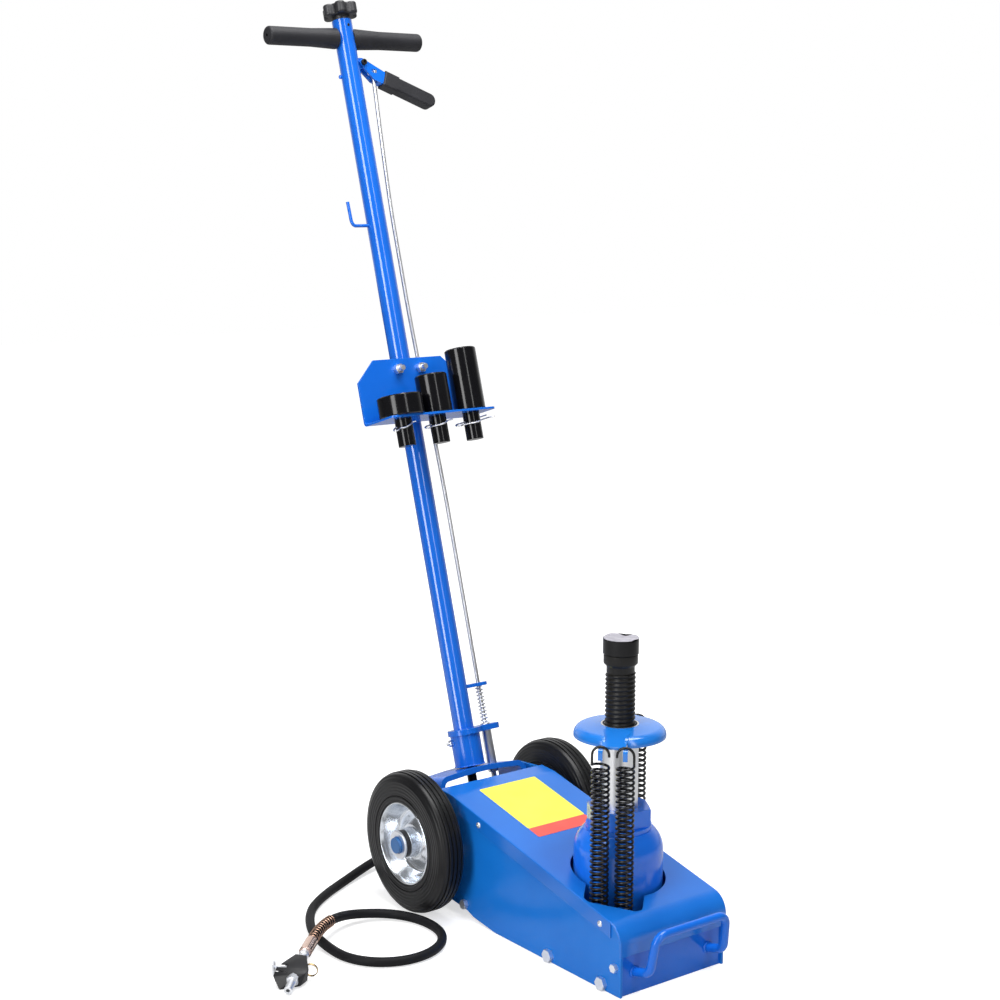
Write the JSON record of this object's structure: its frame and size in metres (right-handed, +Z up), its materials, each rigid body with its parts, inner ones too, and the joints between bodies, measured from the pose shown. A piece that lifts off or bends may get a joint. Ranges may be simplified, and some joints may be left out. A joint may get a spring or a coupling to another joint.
{
  "type": "car jack",
  "caption": "Wheeled air-hydraulic jack: sloped steel chassis, spring-returned ram with screw saddle, tilting handle with squeeze lock, adapter tray and air hose.",
  "frame": {"origin": "on the floor under the axis of the lifting ram", "axes": "+Z up along the ram, -Y to the front with the carry handle, +X to the side of the squeeze lever"},
  "size_m": [0.5837, 0.8316, 1.2785],
  "materials": {
    "blue_paint": "gloss",
    "cast_block": "as cast",
    "motor_can": "satin",
    "chrome": "polished",
    "zinc_plate": "bright zinc",
    "zinc_steel": "zinc plated",
    "black_steel": "satin black",
    "black_rubber": "matte",
    "tyre_rubber": "matte",
    "black_plastic": "satin",
    "copper_plate": "copper plated"
  },
  "bodies": {
    "chassis": {"left_side_plate": "blue_paint", "right_side_plate": "blue_paint", "top_cover": "blue_paint", "front_plate": "blue_paint", "base_plate": "blue_paint", "rear_floor": "blue_paint", "carry_handle": "blue_paint", "frame_bolts": "zinc_steel", "axle": "zinc_steel", "bottle": "blue_paint", "gland_nut": "blue_paint", "pump_block": "cast_block", "air_motor": "motor_can", "lock_quadrant": "blue_paint", "yoke_bolts": "zinc_steel", "spring_anchors": "blue_paint", "air_inlet": "zinc_steel", "air_hose": "black_rubber", "hose_guard": "copper_plate", "hose_ferrule": "copper_plate", "air_valve_body": "black_plastic", "air_nipple": "zinc_steel"},
    "left_wheel": {"left_tyre": "tyre_rubber", "left_rim": "zinc_plate", "left_bush": "black_plastic"},
    "right_wheel": {"right_tyre": "tyre_rubber", "right_rim": "zinc_plate", "right_bush": "black_plastic"},
    "ram": {"ram": "chrome", "spring_plate": "blue_paint", "spring_front_left": "black_steel", "spring_front_right": "black_steel", "spring_rear_left": "black_steel", "spring_rear_right": "black_steel"},
    "saddle": {"saddle": "black_steel"},
    "screw": {"extension_screw": "black_steel"},
    "handle": {"handle_yoke": "blue_paint", "handle_sleeve": "blue_paint", "handle_tube": "blue_paint", "lock_plate": "blue_paint", "rod_bracket": "blue_paint", "cross_bar": "blue_paint", "left_grip": "black_rubber", "right_grip": "black_rubber", "hose_hook": "blue_paint", "tool_tray": "blue_paint", "tray_u_bolt": "zinc_steel", "tray_nuts": "zinc_steel", "pad_adapter": "black_steel", "short_adapter": "black_steel", "long_adapter": "black_steel", "lever_lug": "blue_paint"},
    "release": {"release_knob": "black_plastic", "release_rod": "zinc_steel"},
    "valve": {"valve_stem": "zinc_steel"},
    "lever": {"hand_lever": "blue_paint", "lever_grip": "black_rubber"},
    "lock": {"lock_rod": "chrome", "lock_spring": "zinc_steel"},
    "thumb": {"air_valve_lever": "zinc_steel"}
  },
  "joints": [
    {"name": "left_wheel_spin", "type": "hinge", "parent": "chassis", "child": "left_wheel", "pos_m": [-0.1275, 0.29, 0.1], "axis": [1, 0, 0], "continuous": true},
    {"name": "right_wheel_spin", "type": "hinge", "parent": "chassis", "child": "right_wheel", "pos_m": [0.1275, 0.29, 0.1], "axis": [1, 0, 0], "continuous": true},
    {"name": "handle_tilt", "type": "hinge", "parent": "chassis", "child": "handle", "pos_m": [0, 0.31486, 0.12559], "axis": [-1, 0, 0], "range_deg": [-16, 28]},
    {"name": "knob_turn", "type": "hinge", "parent": "handle", "child": "release", "pos_m": [0, 0.3298, 0.1754], "axis": [0, 0.2874, 0.9578], "range_deg": [0, 360]},
    {"name": "valve_turn", "type": "hinge", "parent": "chassis", "child": "valve", "pos_m": [0, 0.3298, 0.1754], "axis": [0, 0.2874, 0.9578], "range_deg": [0, 360]},
    {"name": "lock_lift", "type": "slide", "parent": "handle", "child": "lock", "axis": [0, 0.2874, 0.9578], "range_m": [0, 0.008], "stiffness_N_per_m": 1500, "springref_m": -0.012, "deforming": ["lock_spring"]},
    {"name": "lever_squeeze", "type": "hinge", "parent": "handle", "child": "lever", "pos_m": [0.021, 0.63325, 1.18686], "axis": [0, -0.9578, 0.2874], "range_deg": [0, 24.22]},
    {"name": "ram_lift", "type": "slide", "parent": "chassis", "child": "ram", "axis": [0, 0, 1], "range_m": [-0.1, 0], "deforming": ["spring_front_left", "spring_front_right", "spring_rear_left", "spring_rear_right"]},
    {"name": "saddle_lift", "type": "slide", "parent": "ram", "child": "saddle", "axis": [0, 0, 1], "range_m": [-0.0601, 0]},
    {"name": "screw_turn", "type": "hinge", "parent": "saddle", "child": "screw", "pos_m": [0, 0, 0.3997], "axis": [0, 0, 1], "range_deg": [-3600, 0]},
    {"name": "thumb_tip", "type": "hinge", "parent": "chassis", "child": "thumb", "pos_m": [-0.39925, 0.18629, 0.01796], "axis": [-0.1258, -0.1197, 0.9848], "range_deg": [-12, 12]}
  ],
  "couplings": [
    {"joint": "valve_turn", "follows": "knob_turn", "ratio": 1},
    {"joint": "lever_squeeze", "follows": "lock_lift", "rad_per_m": 52.632},
    {"joint": "saddle_lift", "follows": "screw_turn", "m_per_rad": 0.00095493}
  ]
}
